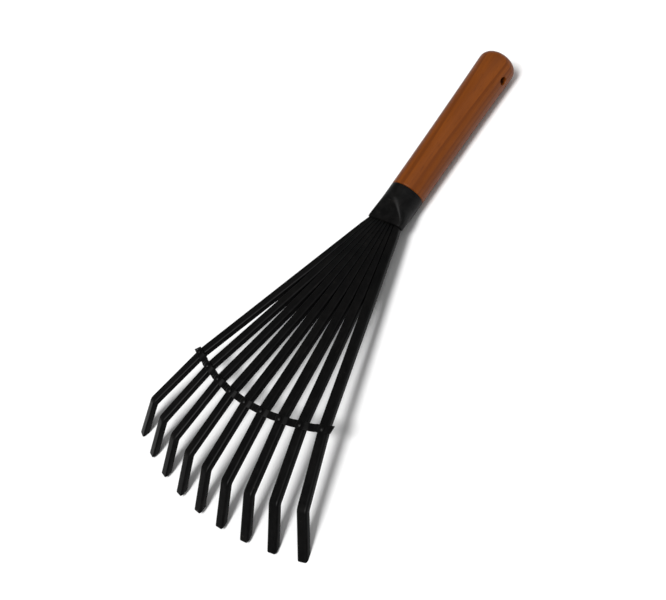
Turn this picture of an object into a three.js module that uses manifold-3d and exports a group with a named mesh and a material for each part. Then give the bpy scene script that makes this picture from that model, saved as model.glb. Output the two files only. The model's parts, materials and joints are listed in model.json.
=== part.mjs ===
// A small hand leaf rake: nine pressed steel tines fanned out of a flattened steel socket, tied
// together by a riveted cross brace, on a short turned wooden handle with a hanging hole.
//
// Millimetres, +Z up. The rake lies as it would on a floor: on the tips of its two outer tines and
// on the butt of its handle, with the handle towards +Y and the tines towards -Y. The origin is the
// middle of its footprint, at floor level.
//
// Inside, the rake is drawn in two frames. The grip frame has the handle's axis along Y and its
// origin where the axis crosses the socket's rim. The fan frame starts at the middle of the
// socket's mouth and is tilted from the grip frame by FAN_TILT.

import * as THREE from 'three';
import { mergeVertices } from 'three/addons/utils/BufferGeometryUtils.js';
import Module from 'manifold-3d';

const wasm = await Module();
wasm.setup();

const degrees = THREE.MathUtils.degToRad;
const QUARTER = Math.PI / 2;

// Handle
const HANDLE_LENGTH = 143;
const HANDLE_BUTT_RADIUS = 16.4;
const BUTT_ROUNDING = 8.5;
const SHOULDER_STEP = 0.05;
const SHOULDER_ROUNDING = 1;
const SPIGOT_ROUNDING = 4;
const HANG_HOLE_RADIUS = 3.2;
const HANG_HOLE_INSET = 20;

// Socket
const SOCKET_RADIUS = 14.75;
const SOCKET_SHEET = 1;
const SOCKET_BARREL = 12;
const SOCKET_WEDGE = 15;
const SOCKET_LAND = 4.2;
const MOUTH_CORNER = 3.4;

// Fan of tines
const TINE_COUNT = 9;
const TINE_PITCH = degrees(5.18);
const FAN_TILT = degrees(8.6);
const FAN_LIFT = 1.3;
const APEX_TO_MOUTH = 34.4;
const TINE_WIDTH = 8.8;
const TINE_DEPTH = 4.3;
const TINE_SHEET = 1.2;
const TINE_CORNER = 1.8;
const SHANK_LENGTH = 4.4;
const SHANK_SEAM = 0.4;
const SEAM_END = 12;
const SHANK_EASE = 1.2;
const CHANNEL_START = 30;
const NECK_SLOPE = degrees(5.2);
const BRACE_SLOPE = degrees(13.9);
const TIP_SLOPE = degrees(43.6);
const BRACE_RADIUS = 213.7;
const BRACE_TO_ELBOW = 59.6;
const ELBOW_TO_TIP = 37.3;
const BRACE_BEND = 30;
const ELBOW_BEND = 9;
const TIP_CUTBACK = 5.5;

// Cross brace
const STRAP_WIDTH = 5.8;
const STRAP_THICKNESS = 1.4;
const STRAP_BEYOND_BEND = 1.6;
const STRAP_DIP = 1.2;
const STRAP_SLOPE_RUN = 3;
const STRAP_BEND = 2;
const STRAP_SHORT_END = 0.2;
const STRAP_LONG_END = 4.4;
const STRAP_SHEAR = 2.5;

// Neck plate
const PLATE_THICKNESS = 1.2;
const PLATE_REACH = 32;

// Fasteners
const RIVET_RADIUS = 1.5;
const RIVET_HEAD_RADIUS = 2.6;
const RIVET_HEAD_HEIGHT = 1.1;
const RIVET_TAIL_RADIUS = 2.2;
const RIVET_TAIL_HEIGHT = 0.9;
const SCREW_RADIUS = 1.7;
const SCREW_HEAD_RADIUS = 3.2;
const SCREW_HEAD_HEIGHT = 1.3;
const HEAD_EDGE = 0.3;
const SCREW_LENGTH = 11;
const SCREW_POINT = 3;

// Fits
const SEAT_GAP = 0.3;
const MOUTH_EASE = 0.5;
const DRILL_OVERRUN = 5;

// Smoothness
const ROUND_SEGMENTS = 40;
const SMALL_SEGMENTS = 12;
const FLARE_SEGMENTS = 6;
const CORNER_SEGMENTS = 3;

const ENAMEL = { color: 0x0e0e0f, roughness: 0.42, metalness: 0.6 };
const BARE_STEEL = { color: 0x55565a, roughness: 0.5, metalness: 0.85 };
const STAINED_WOOD = { color: 0x743d17, roughness: 0.5, metalness: 0 };

// Sizes that follow from the ones above
const SOCKET_LENGTH = SOCKET_BARREL + SOCKET_WEDGE + SOCKET_LAND;
const HANDLE_NECK_RADIUS = SOCKET_RADIUS + SHOULDER_STEP;
const SPIGOT_RADIUS = SOCKET_RADIUS - SOCKET_SHEET - SEAT_GAP;
const FAN_HALF_ANGLE = TINE_PITCH * (TINE_COUNT - 1) / 2;
const STACK_HEIGHT = TINE_DEPTH + SEAT_GAP + PLATE_THICKNESS;
const STACK_HALF_WIDTH = APEX_TO_MOUTH * Math.tan(FAN_HALF_ANGLE)
  + outerHalfWidth(APEX_TO_MOUTH) / Math.cos(FAN_HALF_ANGLE);
const MOUTH_HALF_HEIGHT = STACK_HEIGHT / 2 + MOUTH_EASE + SOCKET_SHEET;
const MOUTH_HALF_WIDTH = STACK_HALF_WIDTH + SEAT_GAP + SOCKET_SHEET;
const CROWN_AT_MOUTH = STACK_HEIGHT / 2;

// ---------------------------------------------------------------------------------------------
// Tools: booleans, rounded lines and swept sections
// ---------------------------------------------------------------------------------------------

function toSolid(geometry) {
  const bare = geometry.clone();
  bare.deleteAttribute('normal');
  bare.deleteAttribute('uv');
  const merged = mergeVertices(bare, 1e-4);
  return new wasm.Manifold(new wasm.Mesh({
    numProp: 3,
    vertProperties: new Float32Array(merged.attributes.position.array),
    triVerts: new Uint32Array(merged.index.array),
  }));
}

function toGeometry(solid) {
  const mesh = solid.getMesh();
  const geometry = new THREE.BufferGeometry();
  geometry.setAttribute('position', new THREE.BufferAttribute(mesh.vertProperties, 3));
  geometry.setIndex(new THREE.BufferAttribute(mesh.triVerts, 1));
  return geometry;
}

function drilled(geometry, ...drills) {
  return toGeometry(drills.reduce((solid, drill) => solid.subtract(toSolid(drill)), toSolid(geometry)));
}

// A drill along the direction `axis`, centred on `point`.
function drill(radius, length, point, axis) {
  const geometry = new THREE.CylinderGeometry(radius, radius, length, SMALL_SEGMENTS);
  const turn = new THREE.Quaternion().setFromUnitVectors(new THREE.Vector3(0, 1, 0), axis);
  return geometry.applyQuaternion(turn).translate(point.x, point.y, point.z);
}

// A line through `corners` ({along, up, bend}) whose inner corners are arcs of radius `bend`.
// It comes back as stations, each with its place and its downward slope.
function roundedLine(corners, arcSteps) {
  const slopeTo = (a, b) => Math.atan2(a.up - b.up, b.along - a.along);
  const last = corners.length - 1;
  const stations = [{ ...corners[0], slope: slopeTo(corners[0], corners[1]) }];
  for (let i = 1; i < last; i += 1) {
    const { along, up, bend } = corners[i];
    const before = slopeTo(corners[i - 1], corners[i]);
    const after = slopeTo(corners[i], corners[i + 1]);
    if (!bend) {
      stations.push({ along, up, slope: before });
      continue;
    }
    const side = Math.sign(after - before);
    const setback = bend * Math.tan(Math.abs(after - before) / 2);
    const start = { along: along - setback * Math.cos(before), up: up + setback * Math.sin(before) };
    const centre = { along: start.along - side * bend * Math.sin(before),
      up: start.up - side * bend * Math.cos(before) };
    for (let step = 0; step <= arcSteps; step += 1) {
      const slope = before + (after - before) * step / arcSteps;
      stations.push({
        along: centre.along + side * bend * Math.sin(slope),
        up: centre.up + side * bend * Math.cos(slope),
        slope,
      });
    }
  }
  stations.push({ ...corners[last], slope: slopeTo(corners[last - 1], corners[last]) });
  return stations;
}

// Extrudes `section` through as many steps as there are stations, then lets `place` put each
// point of each step where it belongs.
function sweptThrough(section, stations, place) {
  const steps = stations.length - 1;
  const geometry = new THREE.ExtrudeGeometry(section,
    { depth: steps, steps, bevelEnabled: false, curveSegments: CORNER_SEGMENTS });
  const points = geometry.attributes.position;
  const point = new THREE.Vector3();
  for (let i = 0; i < points.count; i += 1) {
    point.fromBufferAttribute(points, i);
    const index = Math.round(point.z);
    const placed = place(point.x, point.y, stations[index], index);
    points.setXYZ(i, placed.x, placed.y, placed.z);
  }
  return geometry;
}

function named(name, geometry, finish) {
  const mesh = new THREE.Mesh(geometry, new THREE.MeshStandardMaterial(finish));
  mesh.name = name;
  return mesh;
}

// ---------------------------------------------------------------------------------------------
// Handle, socket and handle screw, in the grip frame
// ---------------------------------------------------------------------------------------------

// The screw goes in through the left side of the socket's barrel.
const SCREW_SEAT = new THREE.Vector3(-SOCKET_RADIUS, -SOCKET_BARREL / 2, 0);
const SCREW_AXIS = new THREE.Vector3(-1, 0, 0);

// Points of a lathe profile round a quarter circle or less, from one angle to the other. Angles
// are measured from straight outwards, towards the butt.
function profileArc(centre, radius, from, to, segments = CORNER_SEGMENTS) {
  return Array.from({ length: segments + 1 }, (_, step) => {
    const angle = THREE.MathUtils.lerp(from, to, step / segments);
    return new THREE.Vector2(centre.x + radius * Math.cos(angle), centre.y + radius * Math.sin(angle));
  });
}

// The grip's radius grows slowly out of the socket and faster towards the butt.
function gripRadius(y) {
  return HANDLE_NECK_RADIUS + (HANDLE_BUTT_RADIUS - HANDLE_NECK_RADIUS) * (y / HANDLE_LENGTH) ** 2;
}

function handleProfile() {
  const shoulder = SEAT_GAP + SHOULDER_ROUNDING;
  const butt = HANDLE_LENGTH - BUTT_ROUNDING;
  const flare = Array.from({ length: FLARE_SEGMENTS - 1 }, (_, step) => {
    const y = THREE.MathUtils.lerp(shoulder, butt, (step + 1) / FLARE_SEGMENTS);
    return new THREE.Vector2(gripRadius(y), y);
  });
  return [
    new THREE.Vector2(0, -SOCKET_BARREL),
    ...profileArc(new THREE.Vector2(SPIGOT_RADIUS - SPIGOT_ROUNDING, SPIGOT_ROUNDING - SOCKET_BARREL),
      SPIGOT_ROUNDING, -QUARTER, 0),
    new THREE.Vector2(SPIGOT_RADIUS, SEAT_GAP),
    ...profileArc(new THREE.Vector2(gripRadius(shoulder) - SHOULDER_ROUNDING, shoulder),
      SHOULDER_ROUNDING, -QUARTER, 0),
    ...flare,
    ...profileArc(new THREE.Vector2(gripRadius(butt) - BUTT_ROUNDING, butt),
      BUTT_ROUNDING, 0, QUARTER, 2 * CORNER_SEGMENTS),
    new THREE.Vector2(0, HANDLE_LENGTH),
  ];
}

function handle() {
  const wood = new THREE.LatheGeometry(handleProfile(), ROUND_SEGMENTS);
  const hangHole = drill(HANG_HOLE_RADIUS, DRILL_OVERRUN + 2 * HANDLE_BUTT_RADIUS,
    new THREE.Vector3(0, HANDLE_LENGTH - HANG_HOLE_INSET, 0), new THREE.Vector3(1, 0, 0));
  const pilotDepth = SCREW_LENGTH + SEAT_GAP;
  const pilot = drill(SCREW_RADIUS + SEAT_GAP, 2 * pilotDepth, SCREW_SEAT, SCREW_AXIS);
  return named('handle', drilled(wood, hangHole, pilot), STAINED_WOOD);
}

// How far the socket's section has gone from a round tube, 0, to the pressed mouth, 1.
function pressed(y) {
  return THREE.MathUtils.clamp((-y - SOCKET_BARREL) / SOCKET_WEDGE, 0, 1);
}

function socket() {
  const inner = SOCKET_RADIUS - SOCKET_SHEET;
  const rows = [0, -SOCKET_BARREL, -SOCKET_BARREL - SOCKET_WEDGE, -SOCKET_LENGTH];
  const profile = [
    ...rows.map((y) => new THREE.Vector2(SOCKET_RADIUS, y)),
    ...rows.toReversed().map((y) => new THREE.Vector2(inner, y)),
    new THREE.Vector2(SOCKET_RADIUS, 0),
  ];
  const turn = Math.PI / ROUND_SEGMENTS;
  const tube = new THREE.LatheGeometry(profile.toReversed(), ROUND_SEGMENTS, turn);
  const points = tube.attributes.position;
  for (let i = 0; i < points.count; i += 1) {
    const [x, y, z] = [points.getX(i), points.getY(i), points.getZ(i)];
    const wallDepth = SOCKET_RADIUS - Math.hypot(x, z);
    const amount = pressed(y);
    const corner = THREE.MathUtils.lerp(SOCKET_RADIUS, MOUTH_CORNER, amount);
    const shiftX = amount * (MOUTH_HALF_WIDTH - MOUTH_CORNER);
    const shiftZ = amount * (MOUTH_HALF_HEIGHT - MOUTH_CORNER);
    const shrink = (corner - wallDepth) / Math.hypot(x, z);
    points.setXYZ(i, x * shrink + Math.sign(x) * shiftX, y,
      z * shrink + Math.sign(z) * shiftZ + amount * FAN_LIFT);
  }
  const screwHole = drill(SCREW_RADIUS + SEAT_GAP, DRILL_OVERRUN, SCREW_SEAT, SCREW_AXIS);
  return named('socket', drilled(tube, screwHole), ENAMEL);
}

// A low domed head on a straight edge, as a lathe profile from the edge's foot to the axis.
function headProfile(radius, height, seat) {
  const rise = height - HEAD_EDGE;
  const dome = (radius ** 2 + rise ** 2) / (2 * rise);
  const centre = new THREE.Vector2(0, seat + height - dome);
  const edge = Math.acos(radius / dome);
  return [new THREE.Vector2(radius, seat), ...profileArc(centre, dome, edge, QUARTER).slice(0, -1),
    new THREE.Vector2(0, seat + height)];
}

function handleScrew() {
  const profile = [
    new THREE.Vector2(0, -SCREW_LENGTH),
    new THREE.Vector2(SCREW_RADIUS, SCREW_POINT - SCREW_LENGTH),
    new THREE.Vector2(SCREW_RADIUS, SEAT_GAP),
    ...headProfile(SCREW_HEAD_RADIUS, SCREW_HEAD_HEIGHT, SEAT_GAP),
  ];
  const screw = named('handle_screw', new THREE.LatheGeometry(profile, SMALL_SEGMENTS), BARE_STEEL);
  screw.position.copy(SCREW_SEAT);
  screw.quaternion.setFromUnitVectors(new THREE.Vector3(0, 1, 0), SCREW_AXIS);
  return screw;
}

// ---------------------------------------------------------------------------------------------
// Tines, brace, rivets and neck plate, in the fan frame
// ---------------------------------------------------------------------------------------------

// The crown of a tine, out from the apex of the fan: through the mouth, bent down at the brace and
// again at the elbow.
function crownCorners() {
  const neckUp = (along) => CROWN_AT_MOUTH - (along - APEX_TO_MOUTH) * Math.tan(NECK_SLOPE);
  const neck = [
    APEX_TO_MOUTH - SHANK_LENGTH,
    APEX_TO_MOUTH + SEAM_END,
    APEX_TO_MOUTH + CHANNEL_START,
    (TINE_WIDTH + SEAT_GAP) / 2 / Math.tan(TINE_PITCH / 2),
  ].sort((a, b) => a - b).map((along) => ({ along, up: neckUp(along), bend: 0 }));
  const brace = { along: BRACE_RADIUS, up: neckUp(BRACE_RADIUS), bend: BRACE_BEND };
  const elbow = {
    along: brace.along + BRACE_TO_ELBOW * Math.cos(BRACE_SLOPE),
    up: brace.up - BRACE_TO_ELBOW * Math.sin(BRACE_SLOPE),
    bend: ELBOW_BEND,
  };
  const tip = {
    along: elbow.along + ELBOW_TO_TIP * Math.cos(TIP_SLOPE),
    up: elbow.up - ELBOW_TO_TIP * Math.sin(TIP_SLOPE),
  };
  return [...neck, brace, elbow, tip];
}

const CROWN = roundedLine(crownCorners(), CORNER_SEGMENTS);
const BRACE_SEAT = braceSeat();

// A point `outward` from a station's crown, in the plane of the tine, and `forward` along it.
function offCrown(station, outward, forward = 0) {
  return {
    along: station.along + outward * Math.sin(station.slope) + forward * Math.cos(station.slope),
    up: station.up + outward * Math.cos(station.slope) - forward * Math.sin(station.slope),
  };
}

// The station on the brace bend, a little beyond its middle, that the strap is riveted to.
function braceSeat() {
  const corner = { ...crownCorners().find(({ bend }) => bend === BRACE_BEND),
    slope: (NECK_SLOPE + BRACE_SLOPE) / 2 };
  const centre = offCrown(corner, -BRACE_BEND / Math.cos((BRACE_SLOPE - NECK_SLOPE) / 2));
  const slope = corner.slope + STRAP_BEYOND_BEND / BRACE_BEND;
  return { ...offCrown({ ...centre, slope }, BRACE_BEND), slope };
}

function channelSection() {
  const half = TINE_WIDTH / 2;
  const innerHalf = half - TINE_SHEET;
  const innerCorner = TINE_CORNER - TINE_SHEET;
  const section = new THREE.Shape();
  section.moveTo(-half, -TINE_DEPTH);
  section.lineTo(-innerHalf, -TINE_DEPTH);
  section.lineTo(-innerHalf, -TINE_SHEET - innerCorner);
  section.lineTo(-innerHalf + innerCorner, -TINE_SHEET);
  section.lineTo(innerHalf - innerCorner, -TINE_SHEET);
  section.lineTo(innerHalf, -TINE_SHEET - innerCorner);
  section.lineTo(innerHalf, -TINE_DEPTH);
  section.lineTo(half, -TINE_DEPTH);
  section.lineTo(half, -TINE_CORNER);
  section.absarc(half - TINE_CORNER, -TINE_CORNER, TINE_CORNER, 0, QUARTER, false);
  section.lineTo(-half + TINE_CORNER, 0);
  section.absarc(-half + TINE_CORNER, -TINE_CORNER, TINE_CORNER, QUARTER, Math.PI, false);
  section.closePath();
  return section;
}

// Half the width of a tine on a side that faces a neighbour: it narrows where the tines meet.
function innerHalfWidth(along) {
  return Math.min(TINE_WIDTH / 2, along * Math.tan(TINE_PITCH / 2) - SEAT_GAP / 2);
}

// Half the width of a tine on the fan's outer side: it eases in a little at the shank.
function outerHalfWidth(along) {
  const seam = APEX_TO_MOUTH + SEAM_END;
  const eased = THREE.MathUtils.clamp((seam - along) / (SEAM_END + SHANK_LENGTH), 0, 1);
  return TINE_WIDTH / 2 - SHANK_EASE * eased;
}

// Each tine is an arched channel whose hollow closes to a shallow seam towards the shank.
function tine(number) {
  const half = TINE_WIDTH / 2;
  const innerHalf = half - TINE_SHEET;
  const leftHalf = number > 1 ? innerHalfWidth : outerHalfWidth;
  const rightHalf = number < TINE_COUNT ? innerHalfWidth : outerHalfWidth;
  const channelDepth = (along) => THREE.MathUtils.mapLinear(
    THREE.MathUtils.clamp(along - APEX_TO_MOUTH, SEAM_END, CHANNEL_START),
    SEAM_END, CHANNEL_START, SHANK_SEAM, TINE_DEPTH - TINE_SHEET);
  const last = CROWN.length - 1;
  const geometry = sweptThrough(channelSection(), CROWN, (x, y, station, index) => {
    const wide = x < 0 ? leftHalf(station.along) : rightHalf(station.along);
    const isChannel = Math.abs(x) < innerHalf + TINE_SHEET / 2 && y < -TINE_SHEET / 2;
    const across = isChannel ? x / innerHalf * (wide - TINE_SHEET) : x / half * wide;
    const rise = (y + TINE_DEPTH) / (TINE_DEPTH - TINE_SHEET);
    const outward = isChannel ? rise * channelDepth(station.along) - TINE_DEPTH : y;
    const cutback = index === last ? TIP_CUTBACK * outward / TINE_DEPTH : 0;
    const { along, up } = offCrown(station, outward, cutback);
    return { x: across, y: -along, z: up };
  });
  const seat = offCrown(BRACE_SEAT, 0);
  const axis = new THREE.Vector3(0, -Math.sin(BRACE_SEAT.slope), Math.cos(BRACE_SEAT.slope));
  const hole = drill(RIVET_RADIUS + SEAT_GAP, DRILL_OVERRUN,
    new THREE.Vector3(0, -seat.along, seat.up), axis);
  return named(`tine_${number}`, drilled(geometry, hole), ENAMEL);
}

// The strap's underside, along the arc of the brace: over each tine and down between them.
function strapCorners() {
  const top = SEAT_GAP;
  const over = TINE_WIDTH / 2;
  const lastTine = BRACE_SEAT.along * FAN_HALF_ANGLE;
  const corners = [{ along: -lastTine - over - STRAP_SHORT_END, up: top }];
  for (let i = 0; i < TINE_COUNT - 1; i += 1) {
    const here = BRACE_SEAT.along * tineAngles()[i];
    const next = BRACE_SEAT.along * tineAngles()[i + 1];
    corners.push(
      { along: here + over, up: top, bend: STRAP_BEND },
      { along: here + over + STRAP_SLOPE_RUN, up: top - STRAP_DIP, bend: STRAP_BEND },
      { along: next - over - STRAP_SLOPE_RUN, up: top - STRAP_DIP, bend: STRAP_BEND },
      { along: next - over, up: top, bend: STRAP_BEND },
    );
  }
  corners.push({ along: lastTine + over + STRAP_LONG_END, up: top });
  return corners;
}

function crossBrace() {
  const half = STRAP_WIDTH / 2;
  const section = new THREE.Shape();
  section.moveTo(-half, 0);
  section.lineTo(half, 0);
  section.lineTo(half, STRAP_THICKNESS);
  section.lineTo(-half, STRAP_THICKNESS);
  section.closePath();
  const stations = roundedLine(strapCorners(), 1);
  const last = stations.length - 1;
  const geometry = sweptThrough(section, stations, (x, y, station, index) => {
    const raised = offCrown(station, y);
    const isEnd = index === 0 || index === last;
    const sheared = isEnd ? Math.sign(x) * STRAP_SHEAR / 2 : 0;
    const angle = (raised.along + sheared) / BRACE_SEAT.along;
    const { along, up } = offCrown(BRACE_SEAT, raised.up, -x);
    return { x: along * Math.sin(angle), y: -along * Math.cos(angle), z: up };
  });
  const holes = tineAngles().map((angle) => {
    const seat = rivetSeat(angle);
    return drill(RIVET_RADIUS + SEAT_GAP, DRILL_OVERRUN, seat.point, seat.axis);
  });
  return named('cross_brace', drilled(geometry, ...holes), ENAMEL);
}

function tineAngles() {
  return Array.from({ length: TINE_COUNT }, (_, i) => i * TINE_PITCH - FAN_HALF_ANGLE);
}

function rivetSeat(angle) {
  const outward = new THREE.Vector3(Math.sin(angle), -Math.cos(angle), 0);
  return {
    point: outward.clone().multiplyScalar(BRACE_SEAT.along).setZ(BRACE_SEAT.up),
    axis: outward.clone().multiplyScalar(Math.sin(BRACE_SEAT.slope)).setZ(Math.cos(BRACE_SEAT.slope)),
  };
}

function braceRivet(number) {
  const headSeat = STRAP_THICKNESS + 2 * SEAT_GAP;
  const tailSeat = -TINE_SHEET - SEAT_GAP;
  const profile = [
    new THREE.Vector2(0, tailSeat - RIVET_TAIL_HEIGHT),
    new THREE.Vector2(RIVET_TAIL_RADIUS, tailSeat - RIVET_TAIL_HEIGHT),
    new THREE.Vector2(RIVET_TAIL_RADIUS, tailSeat),
    new THREE.Vector2(RIVET_RADIUS, tailSeat),
    new THREE.Vector2(RIVET_RADIUS, headSeat),
    ...headProfile(RIVET_HEAD_RADIUS, RIVET_HEAD_HEIGHT, headSeat),
  ];
  const rivet = named(`brace_rivet_${number}`,
    new THREE.LatheGeometry(profile, SMALL_SEGMENTS), ENAMEL);
  const seat = rivetSeat(tineAngles()[number - 1]);
  rivet.position.copy(seat.point);
  rivet.quaternion.setFromUnitVectors(new THREE.Vector3(0, 1, 0), seat.axis);
  return rivet;
}

// The plate under the shanks, from inside the socket out to where the tines part.
function neckPlate() {
  const inner = APEX_TO_MOUTH - SOCKET_LAND - SOCKET_WEDGE / 2;
  const outer = APEX_TO_MOUTH + PLATE_REACH;
  const spread = FAN_HALF_ANGLE;
  const outline = new THREE.Shape();
  outline.absarc(0, 0, outer, -QUARTER - spread, -QUARTER + spread, false);
  outline.absarc(0, 0, inner, -QUARTER + spread, -QUARTER - spread, true);
  outline.closePath();
  const geometry = new THREE.ExtrudeGeometry(outline,
    { depth: PLATE_THICKNESS, bevelEnabled: false, curveSegments: SMALL_SEGMENTS });
  const points = geometry.attributes.position;
  for (let i = 0; i < points.count; i += 1) {
    const along = Math.hypot(points.getX(i), points.getY(i));
    const top = CROWN_AT_MOUTH - (along - APEX_TO_MOUTH) * Math.tan(NECK_SLOPE)
      - TINE_DEPTH / Math.cos(NECK_SLOPE) - SEAT_GAP;
    points.setZ(i, points.getZ(i) + top - PLATE_THICKNESS);
  }
  return named('neck_plate', geometry, ENAMEL);
}

function fan() {
  const apex = new THREE.Group();
  for (let number = 1; number <= TINE_COUNT; number += 1) {
    const piece = tine(number);
    piece.rotation.z = tineAngles()[number - 1];
    apex.add(piece);
  }
  apex.add(crossBrace(), neckPlate());
  for (let number = 1; number <= TINE_COUNT; number += 1) {
    apex.add(braceRivet(number));
  }
  apex.position.set(0, APEX_TO_MOUTH, 0);
  const tilted = new THREE.Group();
  tilted.add(apex);
  tilted.rotation.x = -FAN_TILT;
  tilted.position.set(0, -SOCKET_LENGTH, FAN_LIFT);
  return tilted;
}

// ---------------------------------------------------------------------------------------------
// The whole rake, laid on the floor
// ---------------------------------------------------------------------------------------------

// The turn about X that brings the outer tips and the rounded butt down to one level: the floor is
// the line through the tip that touches the circle of the butt's rounding.
function lyingTilt(grip) {
  grip.updateMatrixWorld(true);
  const tip = new THREE.Box3().setFromObject(grip.getObjectByName('tine_1'), true).min;
  const centreY = HANDLE_LENGTH - BUTT_ROUNDING;
  const centreZ = BUTT_ROUNDING - gripRadius(centreY);
  const reach = Math.hypot(centreY - tip.y, centreZ - tip.z);
  return Math.asin(BUTT_ROUNDING / reach) - Math.atan2(centreZ - tip.z, centreY - tip.y);
}

const grip = new THREE.Group();
grip.add(handle(), socket(), handleScrew(), fan());
grip.rotation.x = lyingTilt(grip);

const box = new THREE.Box3().setFromObject(grip, true);
const centre = box.getCenter(new THREE.Vector3());
grip.position.set(-centre.x, -centre.y, -box.min.z);

const rake = new THREE.Group();
rake.name = 'hand_leaf_rake';
rake.add(grip);

export default rake;
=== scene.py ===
"""A small hand leaf rake: nine black enamelled tines, a cross brace and a turned wooden handle.

Each sub-assembly is a class that holds its sizes in millimetres, models its pieces with bmesh
operators in a frame of its own, and dresses them in their finishes. Two frames carry everything:
the grip frame has the handle's axis along Y and its origin at the socket's rim, and the fan frame
has its origin at the apex that the tines spread from. `Frames` places both in the rake's own frame.
"""

from __future__ import annotations

import json
import logging
import math
from collections.abc import Callable, Iterable, Sequence
from dataclasses import dataclass, field
from enum import Enum

import bmesh
import bpy
from bmesh.types import BMEdge, BMesh, BMFace
from bpy.types import Material, Node, NodeSocket, NodeTree, Object
from mathutils import Matrix, Quaternion, Vector


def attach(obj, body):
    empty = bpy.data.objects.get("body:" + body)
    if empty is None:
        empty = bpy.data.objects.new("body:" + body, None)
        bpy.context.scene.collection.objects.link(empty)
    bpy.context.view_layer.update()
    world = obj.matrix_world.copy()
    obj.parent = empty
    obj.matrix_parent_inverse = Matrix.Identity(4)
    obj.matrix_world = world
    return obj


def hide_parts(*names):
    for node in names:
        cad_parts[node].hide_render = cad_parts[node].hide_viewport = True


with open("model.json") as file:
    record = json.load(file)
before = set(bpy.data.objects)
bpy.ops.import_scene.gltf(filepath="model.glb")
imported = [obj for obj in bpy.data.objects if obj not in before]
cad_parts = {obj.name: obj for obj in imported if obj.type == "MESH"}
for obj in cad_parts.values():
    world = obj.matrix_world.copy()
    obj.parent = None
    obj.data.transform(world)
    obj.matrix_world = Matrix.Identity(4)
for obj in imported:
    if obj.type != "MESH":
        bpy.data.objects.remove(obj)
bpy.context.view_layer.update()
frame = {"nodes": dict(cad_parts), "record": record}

LOG = logging.getLogger("leaf_rake")
MM = 0.001
QUARTER = math.pi / 2
SAME_POINT = 1e-4

Colour = tuple[float, float, float, float]
Point = tuple[float, float]


class Slot(Enum):
    """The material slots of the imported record."""

    WOOD = "stained_wood"
    ENAMEL = "black_enamel"
    STEEL = "screw_steel"


class Side(Enum):
    """The two sides of a tine, seen from the handle with the crown up."""

    LEFT = -1
    RIGHT = 1


# ---- Lines and sections, in millimetres ----


@dataclass(frozen=True)
class Corner:
    """A corner of a bent line, with the radius it is rounded to."""

    along: float
    up: float
    bend: float = 0.0


@dataclass(frozen=True)
class Station:
    """A place on a bent line, with its downward slope in radians."""

    along: float
    up: float
    slope: float

    def off(self, outward: float, forward: float = 0.0) -> Point:
        """A point off the line, square to it and along it.

        Args:
            outward: Distance off the line, to its upper side.
            forward: Distance along the line.

        Returns:
            The point's distance along and its height.
        """
        sin, cos = math.sin(self.slope), math.cos(self.slope)
        return (self.along + outward * sin + forward * cos, self.up + outward * cos - forward * sin)


def lerp(low: float, high: float, share: float) -> float:
    """A value part of the way from low to high."""
    return low + (high - low) * share


def clamp(value: float, low: float = 0.0, high: float = 1.0) -> float:
    """The value, kept between low and high."""
    return max(low, min(high, value))


def smooth(share: float) -> float:
    """A share from 0 to 1 that starts and ends gently."""
    t = clamp(share)
    return t * t * (3 - 2 * t)


def arc(centre: Point, radius: float, start: float, end: float,
        steps: int) -> list[Point]:
    """Points round a circle.

    Args:
        centre: Middle of the circle.
        radius: Its radius.
        start: First angle, in radians.
        end: Last angle.
        steps: How many steps lie between them.

    Returns:
        The points, one more than the steps.
    """
    angles = [lerp(start, end, step / steps) for step in range(steps + 1)]
    return [(centre[0] + radius * math.cos(a), centre[1] + radius * math.sin(a)) for a in angles]


def rounded_line(corners: Sequence[Corner], steps: int) -> list[Station]:
    """Follows a line through corners, with each inner corner rounded to its own radius.

    Args:
        corners: The corners, in order.
        steps: How many steps each rounded corner takes.

    Returns:
        The stations along the line.
    """
    slopes = [math.atan2(a.up - b.up, b.along - a.along) for a, b in zip(corners, corners[1:])]
    stations = [Station(corners[0].along, corners[0].up, slopes[0])]
    for corner, before, after in zip(corners[1:-1], slopes, slopes[1:]):
        if not corner.bend:
            stations.append(Station(corner.along, corner.up, before))
            continue
        side = math.copysign(1, after - before)
        setback = corner.bend * math.tan(abs(after - before) / 2)
        start = Station(corner.along, corner.up, before).off(0, -setback)
        centre = Station(*start, before).off(-side * corner.bend)
        for step in range(steps + 1):
            slope = lerp(before, after, step / steps)
            place = Station(*centre, slope).off(side * corner.bend)
            stations.append(Station(*place, slope))
    stations.append(Station(corners[-1].along, corners[-1].up, slopes[-1]))
    return stations


def filled_in(stations: Sequence[Station], longest: float) -> list[Station]:
    """Adds stations wherever two neighbours are further apart than the longest step.

    Args:
        stations: The stations along a line.
        longest: The longest step allowed.

    Returns:
        The stations with the new ones between them.
    """
    line = [stations[0]]
    for here, after in zip(stations, stations[1:]):
        span = math.hypot(after.along - here.along, after.up - here.up)
        steps = math.ceil(span / longest)
        for share in (step / steps for step in range(1, steps)):
            line.append(Station(lerp(here.along, after.along, share),
                                lerp(here.up, after.up, share),
                                lerp(here.slope, after.slope, share)))
        line.append(after)
    return line


# ---- Mesh tools ----


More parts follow.
